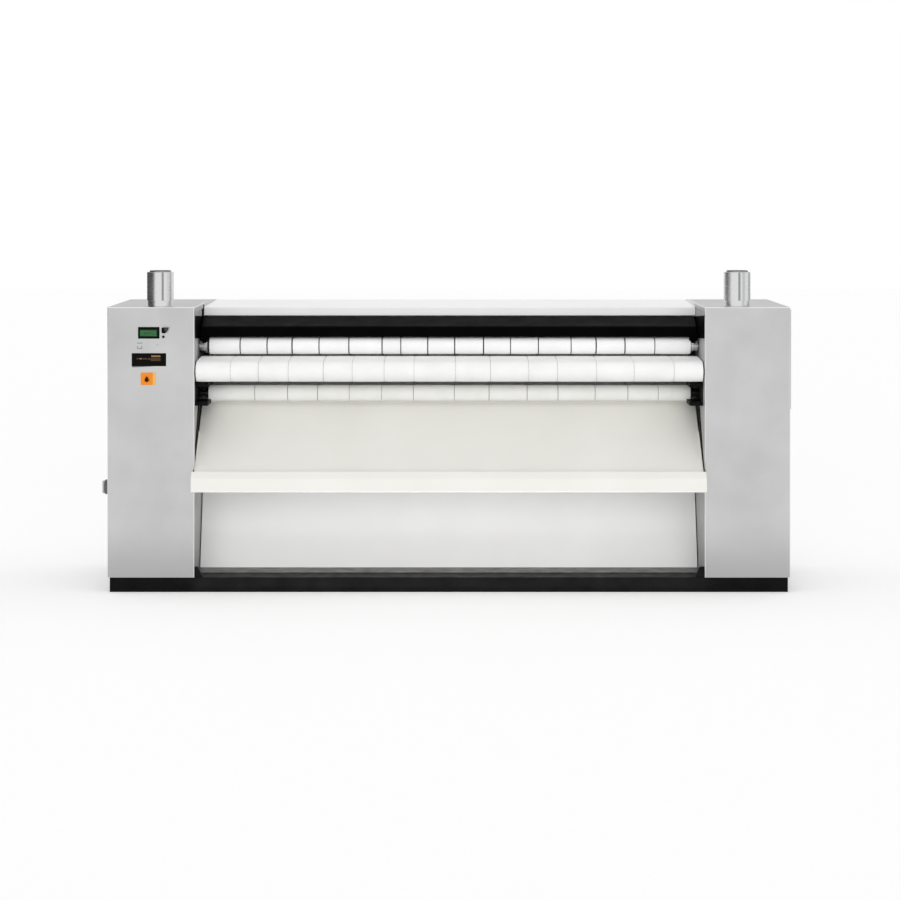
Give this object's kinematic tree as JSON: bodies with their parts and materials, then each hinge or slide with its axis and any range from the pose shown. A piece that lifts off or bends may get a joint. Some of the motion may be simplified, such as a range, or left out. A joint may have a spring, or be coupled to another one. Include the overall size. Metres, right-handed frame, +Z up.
{
  "type": "flatwork ironer",
  "caption": "Floor-standing flatwork ironer: heated drum between two stainless cabinets, felt belts on rollers, linen tray at the front, exhaust stack on each cabinet.",
  "frame": {"origin": "on the floor, halfway across the machine and halfway between the cabinets' front and rear faces", "axes": "+X across the machine to the right as seen from the front, +Y to the back, +Z up"},
  "size_m": [2.8397, 0.823, 1.3127],
  "materials": {
    "brushed_steel": "brushed stainless sheet",
    "polished_steel": "ground and polished steel",
    "zinc_steel": "zinc-plated steel",
    "turned_steel": "turned steel",
    "black_paint": "black powder coat",
    "white_enamel": "white stoved enamel",
    "cream_enamel": "cream stoved enamel",
    "felt": "needled felt belt",
    "cast_iron": "painted casting",
    "motor_paint": "grey enamel",
    "rubber": "belt rubber",
    "black_plastic": "moulded black plastic",
    "grey_plastic": "moulded grey plastic",
    "green_glass": "tinted display window",
    "orange_plastic": "moulded orange plastic",
    "red_plastic": "moulded dark red plastic"
  },
  "bodies": {
    "machine_frame": {"base_frame": "black_paint", "base_floor_pan": "zinc_steel", "lower_front_panel": "white_enamel", "centre_rear_panel": "brushed_steel", "top_cover": "white_enamel", "cross_beam_front": "cast_iron", "cross_beam_rear": "cast_iron", "right_service_cover": "brushed_steel", "right_lower_cover": "brushed_steel", "heater_carrier": "cast_iron", "drive_belt": "rubber", "gear_motor": "motor_paint", "ironing_belts": "felt", "outfeed_belts": "felt", "feed_belts": "felt", "feed_bed": "zinc_steel", "linen_tray": "cream_enamel", "stripper_bar": "turned_steel", "display_bezel": "black_plastic", "display_window": "green_glass", "name_plate": "black_plastic", "stop_plate": "orange_plastic", "isolator_base": "grey_plastic", "control_box": "grey_plastic", "left_inner_plate": "zinc_steel", "left_casing": "brushed_steel", "left_side_panel": "brushed_steel", "left_rear_panel": "brushed_steel", "left_exhaust_stack": "polished_steel", "left_fan_housing": "zinc_steel", "left_drum_bearing": "cast_iron", "left_guard_cheek": "black_paint", "left_outfeed_bracket": "black_paint", "right_inner_plate": "zinc_steel", "right_casing": "brushed_steel", "right_side_panel": "brushed_steel", "right_rear_panel": "brushed_steel", "right_exhaust_stack": "polished_steel", "right_fan_housing": "zinc_steel", "right_drum_bearing": "cast_iron", "right_guard_cheek": "black_paint", "right_outfeed_bracket": "black_paint"},
    "drum": {"drum": "polished_steel", "cylinder_pulley": "cast_iron"},
    "motor_pulley": {"motor_pulley": "cast_iron"},
    "finger_guard": {"finger_guard": "black_paint"},
    "left_fan_impeller": {"left_fan_impeller": "zinc_steel"},
    "right_fan_impeller": {"right_fan_impeller": "zinc_steel"},
    "selector_knob": {"selector_knob": "black_plastic"},
    "start_button": {"start_button": "grey_plastic"},
    "stop_button": {"stop_button": "red_plastic"},
    "isolator_knob": {"isolator_knob": "grey_plastic"},
    "press_roller": {"press_roller": "polished_steel"},
    "rear_top_roller": {"rear_top_roller": "polished_steel"},
    "rear_bottom_roller": {"rear_bottom_roller": "polished_steel"},
    "turn_roller": {"turn_roller": "polished_steel"},
    "outfeed_front_roller": {"outfeed_front_roller": "polished_steel"},
    "outfeed_rear_roller": {"outfeed_rear_roller": "polished_steel"},
    "feed_nose_roller": {"feed_nose_roller": "turned_steel"},
    "feed_rear_roller": {"feed_rear_roller": "turned_steel"}
  },
  "joints": [
    {"name": "drum_spin", "type": "hinge", "parent": "machine_frame", "child": "drum", "pos_m": [0, 0.12, 0.8422], "axis": [-1, 0, 0], "continuous": true},
    {"name": "press_spin", "type": "hinge", "parent": "machine_frame", "child": "press_roller", "pos_m": [0, -0.11499, 0.99167], "axis": [-1, 0, 0], "continuous": true},
    {"name": "rear_top_spin", "type": "hinge", "parent": "machine_frame", "child": "rear_top_roller", "pos_m": [0, 0.29502, 0.99173], "axis": [-1, 0, 0], "continuous": true},
    {"name": "rear_bottom_spin", "type": "hinge", "parent": "machine_frame", "child": "rear_bottom_roller", "pos_m": [0, 0.29498, 0.68503], "axis": [-1, 0, 0], "continuous": true},
    {"name": "turn_spin", "type": "hinge", "parent": "machine_frame", "child": "turn_roller", "pos_m": [0, -0.01999, 0.69602], "axis": [-1, 0, 0], "continuous": true},
    {"name": "outfeed_front_spin", "type": "hinge", "parent": "machine_frame", "child": "outfeed_front_roller", "pos_m": [0, -0.12109, 0.79493], "axis": [-1, 0, 0], "continuous": true},
    {"name": "outfeed_rear_spin", "type": "hinge", "parent": "machine_frame", "child": "outfeed_rear_roller", "pos_m": [0, -0.06603, 0.778], "axis": [-1, 0, 0], "continuous": true},
    {"name": "feed_nose_spin", "type": "hinge", "parent": "machine_frame", "child": "feed_nose_roller", "pos_m": [0, -0.30869, 0.89887], "axis": [-1, 0, 0], "continuous": true},
    {"name": "feed_rear_spin", "type": "hinge", "parent": "machine_frame", "child": "feed_rear_roller", "pos_m": [0, -0.11499, 0.92087], "axis": [-1, 0, 0], "continuous": true},
    {"name": "motor_spin", "type": "hinge", "parent": "machine_frame", "child": "motor_pulley", "pos_m": [1.113, 0.12, 0.42], "axis": [-1, 0, 0], "continuous": true},
    {"name": "left_fan_spin", "type": "hinge", "parent": "machine_frame", "child": "left_fan_impeller", "pos_m": [-1.185, -0.135, 1.01], "axis": [1, 0, 0], "continuous": true},
    {"name": "right_fan_spin", "type": "hinge", "parent": "machine_frame", "child": "right_fan_impeller", "pos_m": [1.185, -0.135, 1.01], "axis": [1, 0, 0], "continuous": true},
    {"name": "guard_swing", "type": "hinge", "parent": "machine_frame", "child": "finger_guard", "pos_m": [0, 0.022, 1.0967], "axis": [-1, 0, 0], "range_deg": [0, 12], "stiffness_Nm_per_rad": 10, "springref_deg": -8.59},
    {"name": "selector_turn", "type": "hinge", "parent": "machine_frame", "child": "selector_knob", "pos_m": [-1.1626, -0.355, 1.0696], "axis": [0, -1, 0], "range_deg": [0, 90]},
    {"name": "start_press", "type": "slide", "parent": "machine_frame", "child": "start_button", "axis": [0, 1, 0], "range_m": [0, 0.002], "stiffness_N_per_m": 300, "springref_m": -0.002},
    {"name": "stop_press", "type": "slide", "parent": "machine_frame", "child": "stop_button", "axis": [0, 1, 0], "range_m": [0, 0.004], "stiffness_N_per_m": 400, "springref_m": -0.002},
    {"name": "isolator_turn", "type": "hinge", "parent": "machine_frame", "child": "isolator_knob", "pos_m": [-1.42, -0.19, 0.411], "axis": [-1, 0, 0], "range_deg": [0, 90]}
  ],
  "couplings": [
    {"joint": "press_spin", "follows": "drum_spin", "ratio": -5.0091},
    {"joint": "rear_top_spin", "follows": "drum_spin", "ratio": -5.0091},
    {"joint": "rear_bottom_spin", "follows": "drum_spin", "ratio": -5.0091},
    {"joint": "turn_spin", "follows": "drum_spin", "ratio": -6.9034},
    {"joint": "outfeed_front_spin", "follows": "drum_spin", "ratio": -5.2492},
    {"joint": "outfeed_rear_spin", "follows": "drum_spin", "ratio": -8.7394},
    {"joint": "feed_nose_spin", "follows": "drum_spin", "ratio": 4.1281},
    {"joint": "feed_rear_spin", "follows": "drum_spin", "ratio": 6.2},
    {"joint": "motor_spin", "follows": "drum_spin", "ratio": 2.9321}
  ]
}
